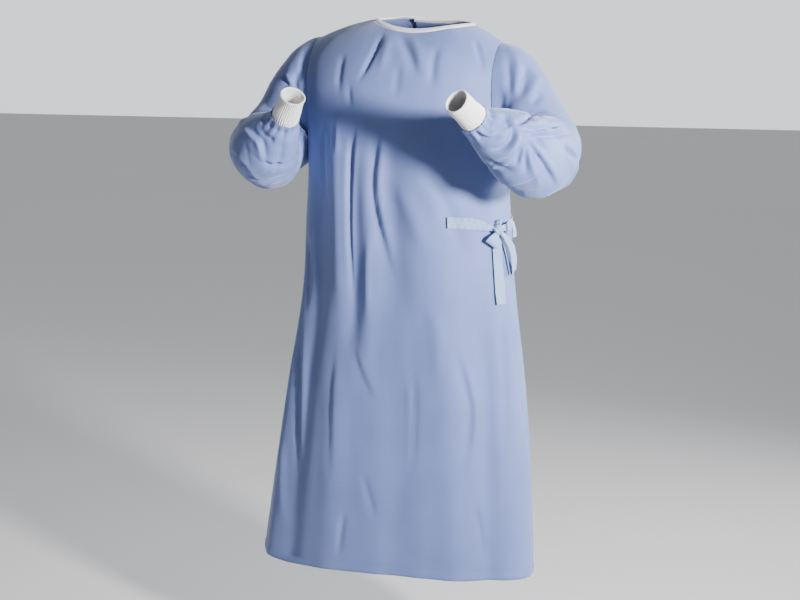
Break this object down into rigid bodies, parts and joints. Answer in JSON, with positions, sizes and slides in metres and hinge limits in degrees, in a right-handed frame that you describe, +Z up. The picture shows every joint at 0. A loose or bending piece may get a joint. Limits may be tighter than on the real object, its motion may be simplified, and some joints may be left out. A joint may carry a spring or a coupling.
{
  "type": "surgical gown",
  "caption": "Long-sleeved wrap-back surgical gown in its worn, hollow form, with knit cuffs, a bound neck and a waist tie in a bow at the wearer's left.",
  "frame": {"origin": "between the shoulders at the height of the neck opening, where the gown is carried by the wearer's shoulders", "axes": "+Z up, -Y to the gown's front, +X to the wearer's left"},
  "size_m": [0.7831, 0.5126, 1.2311],
  "materials": {
    "nonwoven": "matte blue spunbond non-woven",
    "tie_cloth": "matte blue non-woven, folded strip",
    "white_knit": "white rib knit",
    "white_binding": "white folded binding"
  },
  "bodies": {
    "root": {"front_panel": "nonwoven", "back_panel_left": "nonwoven", "back_panel_right": "nonwoven", "sleeve_left": "nonwoven", "sleeve_right": "nonwoven", "cuff_left": "white_knit", "cuff_right": "white_knit", "neck_binding": "white_binding", "waist_tie_front": "tie_cloth", "waist_tie_back": "tie_cloth", "tie_knot": "tie_cloth", "tie_loop_front": "tie_cloth", "tie_loop_back": "tie_cloth", "tie_tail_front": "tie_cloth", "tie_tail_back": "tie_cloth"}
  },
  "joints": []
}
